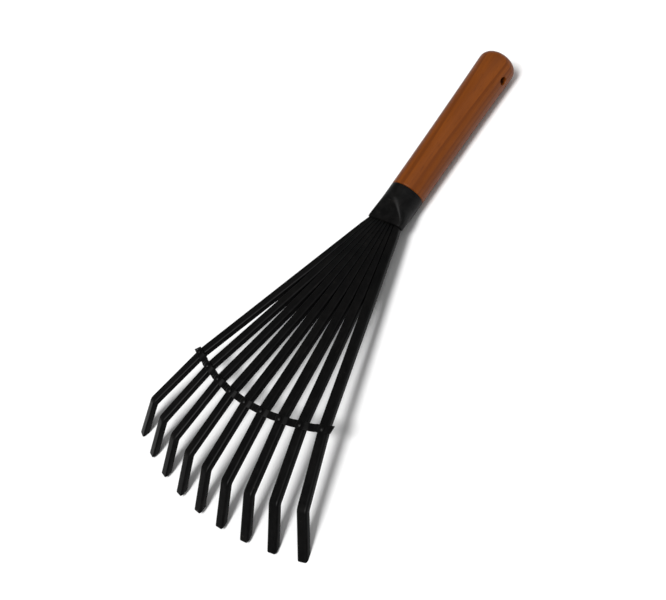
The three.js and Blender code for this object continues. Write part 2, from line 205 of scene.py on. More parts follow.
def sweep(section: Sequence[Point], stations: int,
          place: Callable[[float, float, int], Vector]) -> BMesh:
    """Extrudes a closed section step by step and puts every corner where it belongs.

    Args:
        section: Corners of the section, in order.
        stations: How many places along the way the section has.
        place: Gives a section corner's point at a station.

    Returns:
        The closed mesh.
    """
    bm = bmesh.new()
    corner = bm.verts.layers.int.new("corner")
    start = []
    for index, (x, y) in enumerate(section):
        vert = bm.verts.new(place(x, y, 0))
        vert[corner] = index
        start.append(vert)
    outline = [bm.edges.new(pair) for pair in zip(start, start[1:] + start[:1])]
    face = bmesh.ops.contextual_create(bm, geom=outline)["faces"][0]
    for station in range(1, stations):
        made = bmesh.ops.extrude_face_region(bm, geom=[face])["geom"]
        if station > 1:
            bmesh.ops.delete(bm, geom=[face], context="FACES_ONLY")
        face = next(item for item in made if isinstance(item, BMFace))
        for vert in face.verts:
            vert.co = place(*section[vert[corner]], station)
    return bm


def lathe(profile: Sequence[Point], steps: int) -> BMesh:
    """Spins a profile about the Y axis.

    Args:
        profile: Radius and height of each corner, from axis to axis.
        steps: How many steps the full turn takes.

    Returns:
        The closed mesh.
    """
    bm = bmesh.new()
    verts = [bm.verts.new((radius, height, 0)) for radius, height in profile]
    edges = [bm.edges.new(pair) for pair in zip(verts, verts[1:])]
    bmesh.ops.spin(bm, geom=verts + edges, cent=(0, 0, 0), axis=(0, 1, 0), angle=math.tau,
                   steps=steps, use_merge=True)
    bmesh.ops.remove_doubles(bm, verts=bm.verts, dist=SAME_POINT)
    return bm


def soften(bm: BMesh, width: float, segments: int = 2, sharper_than: float = 40.0,
           where: Callable[[BMEdge], bool] = lambda edge: True) -> None:
    """Bevels the sharp edges of a mesh.

    Args:
        bm: The mesh.
        width: How far the bevel reaches back from the edge.
        segments: How many faces it takes.
        sharper_than: The least angle between two faces, in degrees, that counts as sharp.
        where: Picks among the sharp edges.
    """
    bmesh.ops.recalc_face_normals(bm, faces=bm.faces)
    limit = math.radians(sharper_than)
    edges = [edge for edge in bm.edges
             if edge.is_manifold and edge.calc_face_angle(0) > limit and where(edge)]
    bmesh.ops.bevel(bm, geom=edges, offset=width, offset_type="OFFSET", segments=segments,
                    profile=0.5, affect="EDGES", clamp_overlap=True, material=-1)


def as_object(bm: BMesh, name: str) -> Object:
    """Turns a mesh into an object in the scene and frees it.

    Args:
        bm: The mesh.
        name: The object's name.

    Returns:
        The object.
    """
    bmesh.ops.recalc_face_normals(bm, faces=bm.faces)
    mesh = bpy.data.meshes.new(name)
    bm.to_mesh(mesh)
    bm.free()
    made = bpy.data.objects.new(name, mesh)
    bpy.context.scene.collection.objects.link(made)
    return made


def cut(bm: BMesh, cutter: BMesh) -> BMesh:
    """Takes one closed mesh away from another.

    Args:
        bm: The mesh that is cut.
        cutter: The mesh that cuts it. Both are used up.

    Returns:
        What is left.
    """
    body, tool = as_object(bm, "cut_body"), as_object(cutter, "cut_tool")
    modifier = body.modifiers.new("cut", "BOOLEAN")
    modifier.object, modifier.operation, modifier.solver = tool, "DIFFERENCE", "EXACT"
    bpy.context.view_layer.update()
    evaluated = body.evaluated_get(bpy.context.evaluated_depsgraph_get())
    left = bmesh.new()
    left.from_mesh(evaluated.to_mesh())
    evaluated.to_mesh_clear()
    for used in (body, tool):
        mesh = used.data
        bpy.data.objects.remove(used)
        bpy.data.meshes.remove(mesh)
    return left


# ---- Shader tools ----


@dataclass
class Graph:
    """A short way to write a node tree."""

    tree: NodeTree

    def node(self, kind: str, inputs: dict[str | int, object] | None = None,
             **settings: object) -> Node:
        """Adds a node.

        Args:
            kind: The node's type.
            inputs: Values or sockets for its inputs, by name or number.
            settings: The node's own settings.

        Returns:
            The node.
        """
        made = self.tree.nodes.new(kind)
        for key, value in settings.items():
            setattr(made, key, value)
        self.feed(made, inputs or {})
        return made

    def feed(self, node: Node, inputs: dict[str | int, object]) -> None:
        """Links outputs to a node's inputs, or sets the inputs' own values.

        Args:
            node: The node.
            inputs: Values or sockets for its inputs, by name or number.
        """
        for key, value in inputs.items():
            if isinstance(value, NodeSocket):
                self.tree.links.new(value, node.inputs[key])
            else:
                node.inputs[key].default_value = value

    def math(self, operation: str, *values: object, limit: bool = False) -> NodeSocket:
        """A sum of a few values, as its output socket."""
        return self.node("ShaderNodeMath", dict(enumerate(values)), operation=operation,
                         use_clamp=limit).outputs[0]

    def vector_math(self, operation: str, inputs: dict[str | int, object],
                    output: int = 0) -> NodeSocket:
        """A sum of vectors, as one of its output sockets."""
        return self.node("ShaderNodeVectorMath", inputs, operation=operation).outputs[output]

    def mapped(self, value: object, low: float, high: float, to_low: float = 0.0,
               to_high: float = 1.0) -> NodeSocket:
        """A value carried smoothly from one range to another, as its output socket."""
        return self.node("ShaderNodeMapRange", {"Value": value, "From Min": low, "From Max": high,
                                                "To Min": to_low, "To Max": to_high},
                         interpolation_type="SMOOTHSTEP").outputs[0]

    def mix(self, share: object, first: object, second: object,
            blend: str = "MIX") -> NodeSocket:
        """Two colours mixed, as the output socket."""
        return self.node("ShaderNodeMix", {0: share, 6: first, 7: second}, data_type="RGBA",
                         blend_type=blend).outputs[2]

    def noise(self, vector: object, scale: float, detail: float = 3.0,
              roughness: float = 0.5, distortion: float = 0.0) -> NodeSocket:
        """Noise, as its output socket."""
        return self.node("ShaderNodeTexNoise", {"Vector": vector, "Scale": scale, "Detail": detail,
                                                "Roughness": roughness,
                                                "Distortion": distortion}).outputs[0]

    def stretched(self, vector: object, scale: Sequence[float],
                  turn: Sequence[float] = (0, 0, 0),
                  shift: Sequence[float] = (0, 0, 0)) -> NodeSocket:
        """Coordinates moved, turned and stretched, as the output socket."""
        return self.node("ShaderNodeMapping", {"Vector": vector, "Location": shift,
                                               "Rotation": turn, "Scale": scale}).outputs[0]

    def bump(self, height: object, strength: float, depth: float) -> NodeSocket:
        """A normal bumped by a height, as the output socket."""
        return self.node("ShaderNodeBump", {"Height": height, "Strength": strength,
                                            "Distance": depth}).outputs[0]


def new_group(name: str, amounts: dict[str, float],
              shares: Sequence[str]) -> tuple[Graph, Node, Node]:
    """Starts a shader node group that takes a vector and some amounts, and gives shares of 1.

    Args:
        name: The group's name.
        amounts: The amounts that it takes, with their defaults.
        shares: The shares that it gives.

    Returns:
        The group's graph, its input node and its output node.
    """
    tree = bpy.data.node_groups.new(name, "ShaderNodeTree")
    tree.interface.new_socket("Vector", in_out="INPUT", socket_type="NodeSocketVector")
    for label, default in amounts.items():
        socket = tree.interface.new_socket(label, in_out="INPUT", socket_type="NodeSocketFloat")
        socket.default_value = default
    for label in shares:
        tree.interface.new_socket(label, in_out="OUTPUT", socket_type="NodeSocketFloat")
    graph = Graph(tree)
    return graph, graph.node("NodeGroupInput"), graph.node("NodeGroupOutput")


@dataclass
class Effects:
    """The shader node groups that the finishes share, each built once."""

    made: dict[str, NodeTree] = field(default_factory=dict)

    def get(self, name: str) -> NodeTree:
        """A group by name, built the first time it is asked for."""
        if name not in self.made:
            self.made[name] = getattr(self, f"_{name}")()
        return self.made[name]

    def _timber(self) -> NodeTree:
        """Growth rings round a distant pith, with fibre streaks and open pores along Y.

        Returns:
            The group: Rings, Streaks, Pores and Blotches from 0 to 1.
        """
        graph, given, out = new_group("timber", {"Ring Width": 0.003, "Wander": 0.004},
                                      ["Rings", "Streaks", "Pores", "Blotches"])
        vector = given.outputs["Vector"]
        drift = graph.node("ShaderNodeTexNoise", {"Vector": graph.stretched(vector, (22, 2.6, 22)),
                                                  "Scale": 1.0, "Detail": 2.0})
        centred = graph.vector_math("SUBTRACT", {0: drift.outputs["Color"], 1: (0.5, 0.5, 0.5)})
        wander = graph.vector_math("SCALE", {0: centred, "Scale": given.outputs["Wander"]})
        moved = graph.vector_math("ADD", {0: vector, 1: wander})
        pith = graph.stretched(moved, (1, 0, 1), turn=(0.035, 0.0, 0.05), shift=(0.031, 0, 0.047))
        reach = graph.vector_math("LENGTH", {0: pith}, output=1)
        saw = graph.math("FRACT", graph.math("DIVIDE", reach, given.outputs["Ring Width"]))
        rings = graph.math("MULTIPLY", graph.mapped(saw, 0.35, 0.92),
                           graph.mapped(saw, 0.93, 1.0, 1.0, 0.0))
        streaks = graph.noise(graph.stretched(moved, (900, 16, 900)), 1.0, 4.0, 0.62)
        vessels = graph.noise(graph.stretched(moved, (2600, 95, 2600)), 1.0, 2.0)
        blotches = graph.noise(graph.stretched(vector, (55, 14, 55)), 1.0, 3.0, 0.55)
        graph.feed(out, {"Rings": rings, "Streaks": streaks,
                         "Pores": graph.mapped(vessels, 0.62, 0.72), "Blotches": blotches})
        return graph.tree

    def _scuffs(self) -> NodeTree:
        """Fine rubbed lines in two directions and larger handling marks.

        Returns:
            The group: Lines and Marks from 0 to 1.
        """
        graph, given, out = new_group("scuffs", {"Fineness": 1.0}, ["Lines", "Marks"])
        vector = given.outputs["Vector"]
        along = graph.stretched(vector, (1500, 60, 700), turn=(0, 0, 0.25))
        across = graph.stretched(vector, (90, 1300, 600), turn=(0, 0.3, -0.4))
        strongest = graph.math("MAXIMUM", graph.noise(along, 1.0, 2.0),
                               graph.noise(across, 1.0, 2.0))
        patch = graph.mapped(graph.noise(vector, 70.0, 2.0), 0.48, 0.68)
        lines = graph.math("MULTIPLY", graph.mapped(strongest, 0.66, 0.78), patch)
        lines = graph.math("MULTIPLY", lines, given.outputs["Fineness"], limit=True)
        graph.feed(out, {"Lines": lines, "Marks": graph.noise(vector, 210.0, 5.0, 0.6, 0.4)})
        return graph.tree

    def _edge_wear(self) -> NodeTree:
        """Rubbed corners: the outer edges, broken up by noise.

        Returns:
            The group: Worn from 0 to 1.
        """
        graph, given, out = new_group("edge_wear", {"Amount": 0.5}, ["Worn"])
        edge = graph.mapped(graph.node("ShaderNodeNewGeometry").outputs["Pointiness"], 0.53, 0.6)
        broken = graph.mapped(graph.noise(given.outputs["Vector"], 320.0, 4.0, 0.65), 0.45, 0.7)
        worn = graph.math("MULTIPLY", edge, broken)
        graph.feed(out, {"Worn": graph.math("MULTIPLY", worn, given.outputs["Amount"],
                                            limit=True)})
        return graph.tree

    def _dust(self) -> NodeTree:
        """A thin film of dust that settles where a surface looks up.

        Returns:
            The group: Film from 0 to 1.
        """
        graph, given, out = new_group("dust", {"Amount": 0.1}, ["Film"])
        vector = given.outputs["Vector"]
        normal = graph.node("ShaderNodeNewGeometry").outputs["Normal"]
        up = graph.node("ShaderNodeSeparateXYZ", {0: normal}).outputs[2]
        cloud = graph.mapped(graph.noise(vector, 46.0, 6.0, 0.62), 0.38, 0.72)
        speck = graph.mapped(graph.noise(vector, 1500.0, 1.0), 0.6, 0.74)
        thick = graph.math("ADD", cloud, graph.math("MULTIPLY", speck, 0.5))
        settled = graph.math("MULTIPLY", thick, graph.mapped(up, 0.35, 0.98))
        graph.feed(out, {"Film": graph.math("MULTIPLY", settled, given.outputs["Amount"],
                                            limit=True)})
        return graph.tree


EFFECTS = Effects()


@dataclass(frozen=True)
class Finish:
    """A finish: a named material on Object coordinates. A kind of finish fills in `wire`."""

    name: str
    slot: Slot

    def material(self) -> Material:
        """The finish's material, built the first time it is asked for.

        Returns:
            The material.
        """
        found = bpy.data.materials.get(self.name)
        if found:
            return found
        made = bpy.data.materials.new(self.name)
        made.use_nodes = True
        made.node_tree.nodes.clear()
        graph = Graph(made.node_tree)
        shader = graph.node("ShaderNodeBsdfPrincipled")
        graph.node("ShaderNodeOutputMaterial", {"Surface": shader.outputs[0]})
        place = graph.node("ShaderNodeTexCoord").outputs["Object"]
        self.wire(graph, shader, place)
        return made

    def wire(self, graph: Graph, shader: Node, place: NodeSocket) -> None:
        """Feeds the shader. Each kind of finish has its own."""
        raise NotImplementedError

    @staticmethod
    def effect(graph: Graph, name: str, **inputs: object) -> Node:
        """Places a shared effect in a material.

        Args:
            graph: The material's graph.
            name: The effect's name.
            inputs: Its inputs, with underscores for spaces.

        Returns:
            The group node.
        """
        labelled = {key.replace("_", " "): value for key, value in inputs.items()}
        return graph.node("ShaderNodeGroup", labelled, node_tree=EFFECTS.get(name))


@dataclass(frozen=True)
class WoodFinish(Finish):
    """Stained and varnished hardwood."""

    early: Colour = (0.190, 0.048, 0.0046, 1)
    late: Colour = (0.126, 0.030, 0.0030, 1)
    pore: Colour = (0.055, 0.013, 0.002, 1)
    grime: Colour = (0.030, 0.011, 0.004, 1)
    roughness: float = 0.42
    specular: float = 0.14

    def wire(self, graph: Graph, shader: Node, place: NodeSocket) -> None:
        """Rings and streaks under a thin varnish, with pores that the varnish sinks into.

        Args:
            graph: The material's graph.
            shader: Its shader node.
            place: The coordinates that its patterns follow.
        """
        timber = self.effect(graph, "timber", Vector=place, Ring_Width=0.0034, Wander=0.006)
        scuffs = self.effect(graph, "scuffs", Vector=place, Fineness=0.5)
        rings, streaks, pores, blotches = timber.outputs
        lines, marks = scuffs.outputs
        tone = graph.math("MULTIPLY_ADD", streaks, 0.75, graph.math("MULTIPLY", rings, 0.45),
                          limit=True)
        colour = graph.mix(graph.mapped(tone, 0.22, 0.85), self.early, self.late)
        colour = graph.mix(graph.mapped(blotches, 0.35, 0.7), colour,
                           graph.mix(0.55, colour, self.late))
        colour = graph.mix(graph.math("MULTIPLY", pores, 0.5), colour, self.pore)
        colour = graph.mix(graph.math("MULTIPLY", lines, 0.4), colour, self.grime)
        rough = graph.math("MULTIPLY_ADD", marks, 0.16, self.roughness - 0.08)
        rough = graph.math("MULTIPLY_ADD", pores, 0.15, rough, limit=True)
        height = graph.math("MULTIPLY_ADD", pores, -0.6, graph.math("MULTIPLY", streaks, 0.35))
        graph.feed(shader, {"Base Color": colour, "Roughness": rough,
                            "Normal": graph.bump(height, 0.22, 0.00025),
                            "Specular IOR Level": self.specular})


@dataclass(frozen=True)
class EnamelFinish(Finish):
    """Black stoved enamel on pressed steel, rubbed a little at its edges."""

    colour: Colour = (0.0010, 0.0010, 0.0011, 1)
    thin: Colour = (0.0024, 0.0023, 0.0023, 1)
    steel: Colour = (0.16, 0.155, 0.15, 1)
    dust: Colour = (0.12, 0.105, 0.085, 1)
    roughness: float = 0.36
    specular: float = 0.09
    wear: float = 0.12
    dusting: float = 0.012

    def wire(self, graph: Graph, shader: Node, place: NodeSocket) -> None:
        """Orange peel and scuffs over black, with steel at worn corners and a film of dust.

        Args:
            graph: The material's graph.
            shader: Its shader node.
            place: The coordinates that its patterns follow.
        """
        scuffs = self.effect(graph, "scuffs", Vector=place, Fineness=0.8)
        worn = self.effect(graph, "edge_wear", Vector=place, Amount=self.wear).outputs[0]
        film = self.effect(graph, "dust", Vector=place, Amount=self.dusting).outputs[0]
        lines, marks = scuffs.outputs
        colour = graph.mix(graph.mapped(marks, 0.35, 0.7), self.colour, self.thin)
        colour = graph.mix(graph.math("MULTIPLY", lines, 0.25), colour, self.dust)
        colour = graph.mix(film, colour, self.dust)
        colour = graph.mix(worn, colour, self.steel)
        rough = graph.math("MULTIPLY_ADD", marks, 0.22, self.roughness - 0.11)
        rough = graph.math("MULTIPLY_ADD", lines, 0.2, rough)
        rough = graph.math("MULTIPLY_ADD", film, 0.5, rough, limit=True)
        height = graph.math("MULTIPLY_ADD", lines, -0.25, graph.noise(place, 520.0, 2.0, 0.5))
        graph.feed(shader, {"Base Color": colour, "Roughness": rough,
                            "Metallic": graph.math("MULTIPLY", worn, 0.8, limit=True),
                            "Normal": graph.bump(height, 0.18, 0.0002),
                            "Specular IOR Level": self.specular})


@dataclass(frozen=True)
class SteelFinish(Finish):
    """Plain screw steel, dull, with a brown tinge in its marks."""

    colour: Colour = (0.33, 0.32, 0.31, 1)
    tarnish: Colour = (0.12, 0.085, 0.06, 1)
    roughness: float = 0.38

    def wire(self, graph: Graph, shader: Node, place: NodeSocket) -> None:
        """Turned steel with tarnish that dulls it.

        Args:
            graph: The material's graph.
            shader: Its shader node.
            place: The coordinates that its patterns follow.
        """
        lines, marks = self.effect(graph, "scuffs", Vector=place, Fineness=1.0).outputs
        stain = graph.mapped(marks, 0.45, 0.72)
        rough = graph.math("MULTIPLY_ADD", stain, 0.25, self.roughness)
        graph.feed(shader, {
            "Base Color": graph.mix(stain, self.colour, self.tarnish),
            "Metallic": graph.math("MULTIPLY_ADD", stain, -0.4, 1.0, limit=True),
            "Roughness": graph.math("MULTIPLY_ADD", lines, 0.2, rough, limit=True),
            "Normal": graph.bump(marks, 0.25, 0.0001)})


STAINED_WOOD = WoodFinish("stained_varnished_wood", Slot.WOOD)
BLACK_ENAMEL = EnamelFinish("black_enamel_tines", Slot.ENAMEL)
SOCKET_ENAMEL = EnamelFinish("black_enamel_socket", Slot.ENAMEL, roughness=0.42, wear=0.1,
                             thin=(0.0040, 0.0039, 0.0039, 1))
RIVET_ENAMEL = EnamelFinish("black_enamel_rivets", Slot.ENAMEL, roughness=0.34, wear=0.2)
SCREW_STEEL = SteelFinish("dull_screw_steel", Slot.STEEL)


# ---- Where things are ----


@dataclass
class Frames:
    """The sizes that several sub-assemblies share, and the two frames that they place.

    The grip frame starts from the mount at the handle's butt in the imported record.
    """

    handle_length: float = 143.0
    socket_radius: float = 14.75
    socket_sheet: float = 1.0
    barrel: float = 12.0
    wedge: float = 15.0
    land: float = 4.2
    seat_gap: float = 0.3
    fan_lift: float = 1.3
    fan_tilt: float = math.radians(8.6)
    apex_to_mouth: float = 34.4
    tine_depth: float = 4.3
    tine_sheet: float = 1.2
    plate_thickness: float = 1.2

    def crown_at_mouth(self) -> float:
        """Half the height of the stack of a tine on the plate, which the mouth is centred on."""
        return (self.tine_depth + self.seat_gap + self.plate_thickness) / 2

    def grip(self) -> Matrix:
        """The grip frame: origin at the rim on the handle's axis, +Y to the butt.

        Returns:
            The matrix from grip millimetres to the rake's metres.
        """
        butt = next(m for m in frame["record"]["mounts"] if m["name"] == "butt_end")
        axis = Vector(butt["axis"]).normalized()
        rim = Vector(butt["pos_m"]) - axis * self.handle_length * MM
        tilt = Matrix.Rotation(math.atan2(axis.z, axis.y), 4, "X")
        return Matrix.Translation(rim) @ tilt @ Matrix.Scale(MM, 4)

    def fan(self) -> Matrix:
        """The fan frame: origin at the apex, -Y along the middle tine.

        Returns:
            The matrix from fan millimetres to the rake's metres.
        """
        socket_length = self.barrel + self.wedge + self.land
        mouth = Matrix.Translation((0, -socket_length, self.fan_lift))
        tilt = Matrix.Rotation(-self.fan_tilt, 4, "X")
        return self.grip() @ mouth @ tilt @ Matrix.Translation((0, self.apex_to_mouth, 0))


@dataclass
class SubAssembly:
    """A group of pieces that are built together."""

    frames: Frames

    def build(self) -> list[Object]:
        """Builds and dresses the pieces. Each sub-assembly has its own."""
        raise NotImplementedError

    def publish(self, bm: BMesh, name: str, place: Matrix, finish: Finish,
                stands_for: Iterable[str]) -> Object:
        """Turns a finished mesh into a piece of the rake.

        Args:
            bm: The mesh, in the millimetres of the frame that it was drawn in.
            name: The piece's name.
            place: From that frame to the rake's metres.
            finish: What it is made of.
            stands_for: The solids that it is shown in place of.

        Returns:
            The piece.
        """
        bmesh.ops.transform(bm, matrix=place, verts=bm.verts)
        piece = as_object(bm, name)
        self.shade(piece)
        self.dress(piece, finish)
        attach(piece, "root")
        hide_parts(*stands_for)
        piece.data.calc_loop_triangles()
        LOG.info("%s: %d triangles in %s", name, len(piece.data.loop_triangles), finish.name)
        return piece

    @staticmethod
    def shade(piece: Object, sharper_than: float = 38.0) -> None:
        """Smooths a piece's shading and keeps its sharp edges crisp.

        Args:
            piece: The piece.
            sharper_than: The least angle between two faces, in degrees, that stays crisp.
        """
        piece.data.shade_smooth()
        piece.data.set_sharp_from_angle(angle=math.radians(sharper_than))
        weighted = piece.modifiers.new("weighted_normals", "WEIGHTED_NORMAL")
        weighted.keep_sharp = True
        weighted.weight = 60

    @staticmethod
    def dress(piece: Object, finish: Finish) -> None:
        """Gives a piece its one finish."""
        piece.data.materials.clear()
        piece.data.materials.append(finish.material())


# ---- Handle, socket and screw, in the grip frame ----


@dataclass
class Handle(SubAssembly):
    """The turned wooden handle, with its spigot in the socket and a hole to hang it by."""

    length: float = Frames.handle_length
    shoulder_step: float = 0.05
    neck_radius: float = Frames.socket_radius + shoulder_step
    butt_radius: float = 16.4
    butt_rounding: float = 8.5
    shoulder_rounding: float = 1.0
    shoulder: float = Frames.seat_gap
    spigot_radius: float = Frames.socket_radius - Frames.socket_sheet - Frames.seat_gap
    spigot_length: float = Frames.barrel
    spigot_rounding: float = 4.0
    hole_radius: float = 3.2
    hole_inset: float = 20.0
    hole_chamfer: float = 0.5
    drill_overrun: float = 4.0
    turns: int = 128
    hole_turns: int = 48
    flare_steps: int = 40
    spigot_steps: int = 6
    shoulder_steps: int = 5
    butt_steps: int = 14

    def radius_at(self, y: float) -> float:
        """The grip's radius at a distance from the rim."""
        return lerp(self.neck_radius, self.butt_radius, (y / self.length) ** 2)

    def profile(self) -> list[Point]:
        """The handle's outline from the spigot's end to the butt.

        Returns:
            Radius and distance from the rim of each corner, from axis to axis.
        """
        start = self.shoulder + self.shoulder_rounding
        butt = self.length - self.butt_rounding
        flare = [lerp(start, butt, step / self.flare_steps) for step in range(1, self.flare_steps)]
        spigot_corner = (self.spigot_radius - self.spigot_rounding,
                         self.spigot_rounding - self.spigot_length)
        return [
            (0.0, -self.spigot_length),
            *arc(spigot_corner, self.spigot_rounding, -QUARTER, 0, self.spigot_steps),
            (self.spigot_radius, self.shoulder),
            *arc((self.radius_at(start) - self.shoulder_rounding, start),
                 self.shoulder_rounding, -QUARTER, 0, self.shoulder_steps),
            *[(self.radius_at(y), y) for y in flare],
            *arc((self.radius_at(butt) - self.butt_rounding, butt), self.butt_rounding,
                 0, QUARTER, self.butt_steps),
            (0.0, self.length),
        ]

    def drill(self) -> BMesh:
        """The drill that makes the hanging hole, with a flare at each mouth for its rounded lip.

        Returns:
            The drill, across the handle at the hole.
        """
        half = self.radius_at(self.length - self.hole_inset)
        wide, straight = self.hole_radius + self.hole_chamfer, half - 2 * self.hole_chamfer
        reach, flare = half + self.drill_overrun, wide + self.drill_overrun
        outline = [(0.0, -reach), (flare, -reach), (wide, -half), (self.hole_radius, -straight),
                   (self.hole_radius, straight), (wide, half), (flare, reach), (0.0, reach)]
        tool = lathe(outline, self.hole_turns)
        turn = Matrix.Rotation(-QUARTER, 4, "Z")
        there = Matrix.Translation((0, self.length - self.hole_inset, 0))
        bmesh.ops.transform(tool, matrix=there @ turn, verts=tool.verts)
        return tool

    def build(self) -> list[Object]:
        """Turns the handle and drills it."""
        wood = cut(lathe(self.profile(), self.turns), self.drill())
        return [self.publish(wood, "turned_handle", self.frames.grip(), STAINED_WOOD, ["handle"])]


@dataclass
class Socket(SubAssembly):
    """The steel socket: a tube at the handle, pressed flat round the shanks of the tines."""

    layout: FanLayout
    radius: float = Frames.socket_radius
    sheet: float = Frames.socket_sheet
    mouth_ease: float = 0.5
    mouth_corner: float = 3.4
    press_ease: float = 0.5
    rim_softness: float = 0.3
    turns: int = 96
    barrel_rows: int = 4
    wedge_rows: int = 20
    land_rows: int = 3

    def pressed(self, y: float) -> float:
        """How far the section has gone from a round tube, 0, to the mouth, 1."""
        share = (-y - self.frames.barrel) / self.frames.wedge
        return lerp(clamp(share), smooth(share), self.press_ease)

    def press(self, point: Vector, y: float) -> Vector:
        """Where a point of the round tube goes once it is pressed.

        Args:
            point: The point on the tube, with its place across in x and z.
            y: Its place along.

        Returns:
            The pressed point.
        """
        amount = self.pressed(y)
        corner = lerp(self.radius, self.mouth_corner, amount)
        across, high = point.x / self.radius, point.z / self.radius
        around = self.sheet - self.mouth_corner
        wide = amount * (self.layout.shanks_half_width() + self.frames.seat_gap + around)
        tall = amount * (self.frames.crown_at_mouth() + self.mouth_ease + around)
        return Vector((across * corner + math.copysign(wide, point.x), y,
                       high * corner + math.copysign(tall, point.z)
                       + amount * self.frames.fan_lift))

    def shell(self) -> BMesh:
        """The socket's outer skin, ring by ring from the rim to the mouth, given its wall.

        Returns:
            The closed wall, open at both ends of the socket.
        """
        frames = self.frames
        bm = bmesh.new()
        origin = bm.verts.layers.int.new("origin")
        turn = Matrix.Rotation(QUARTER, 4, "X") @ Matrix.Rotation(math.pi / self.turns, 4, "Z")
        circle = bmesh.ops.create_circle(bm, segments=self.turns, radius=self.radius, matrix=turn)
        start = [vert.co.copy() for vert in circle["verts"]]
        for index, vert in enumerate(circle["verts"]):
            vert[origin] = index
        ring = list({edge for vert in circle["verts"] for edge in vert.link_edges})
        rows, end = [], 0.0
        for length, steps in ((frames.barrel, self.barrel_rows), (frames.wedge, self.wedge_rows),
                              (frames.land, self.land_rows)):
            rows += [end - length * step / steps for step in range(1, steps + 1)]
            end -= length
        for y in rows:
            made = bmesh.ops.extrude_edge_only(bm, edges=ring)["geom"]
            ring = [item for item in made if isinstance(item, BMEdge)]
            for vert in {vert for edge in ring for vert in edge.verts}:
                vert.co = self.press(start[vert[origin]], y)
        bmesh.ops.recalc_face_normals(bm, faces=bm.faces)
        middle = next(iter(bm.faces))
        if middle.normal.dot(middle.calc_center_median() * Vector((1, 0, 1))) < 0:
            bmesh.ops.reverse_faces(bm, faces=bm.faces)
        bmesh.ops.solidify(bm, geom=bm.faces[:], thickness=self.sheet)
        return bm

    def build(self) -> list[Object]:
        """Presses the socket and rounds its raw edges."""
        bm = self.shell()
        soften(bm, self.rim_softness, segments=3, sharper_than=60)
        return [self.publish(bm, "pressed_socket", self.frames.grip(), SOCKET_ENAMEL, ["socket"])]


def domed_head(radius: float, height: float, seat: float, edge: float,
               steps: int) -> list[Point]:
    """The outline of a low domed head on a straight edge.

    Args:
        radius: The head's radius.
        height: Its whole height.
        seat: The height that it sits at.
        edge: How high its straight edge is.
        steps: How many steps the dome takes.

    Returns:
        Radius and height of each corner, from the seat to the axis.
    """
    rise = height - edge
    dome = (radius ** 2 + rise ** 2) / (2 * rise)
    start = math.acos(radius / dome)
    over = arc((0, seat + height - dome), dome, start, QUARTER, steps)
    return [(radius, seat), *over[:-1], (0.0, seat + height)]


@dataclass
class HandleScrew(SubAssembly):
    """The slotted screw that holds the handle in the socket."""

    radius: float = 1.7
    head_radius: float = 3.2
    head_height: float = 1.3
    head_edge: float = 0.3
    length: float = 11.0
    point: float = 3.0
    seat: float = Frames.seat_gap
    slot_width: float = 0.8
    slot_depth: float = 0.6
    slot_angle: float = math.radians(32)
    turns: int = 48
    dome_steps: int = 8

    def slot_tool(self) -> BMesh:
        """The blade-shaped block that cuts the driver slot.

        Returns:
            The block, half sunk in the head.
        """
        tool = bmesh.new()
        place = Matrix.Translation((0, self.seat + self.head_height, 0))
        turn = Matrix.Rotation(self.slot_angle, 4, "Y")
        size = Matrix.Diagonal((3 * self.head_radius, 2 * self.slot_depth, self.slot_width, 1))
        bmesh.ops.create_cube(tool, size=1, matrix=place @ turn @ size)
        return tool

    def build(self) -> list[Object]:
        """Turns the screw, cuts its slot and drives it into the left side of the socket.

        Returns:
            The screw.
        """
        outline = [(0.0, -self.length), (self.radius, self.point - self.length),
                   (self.radius, self.seat),
                   *domed_head(self.head_radius, self.head_height, self.seat, self.head_edge,
                               self.dome_steps)]
        bm = cut(lathe(outline, self.turns), self.slot_tool())
        seat = Matrix.Translation((-self.frames.socket_radius, -self.frames.barrel / 2, 0))
        turn = Matrix.Rotation(QUARTER, 4, "Z")
        place = self.frames.grip() @ seat @ turn
        return [self.publish(bm, "slotted_screw", place, SCREW_STEEL, ["handle_screw"])]


# ---- The fan, in the fan frame ----


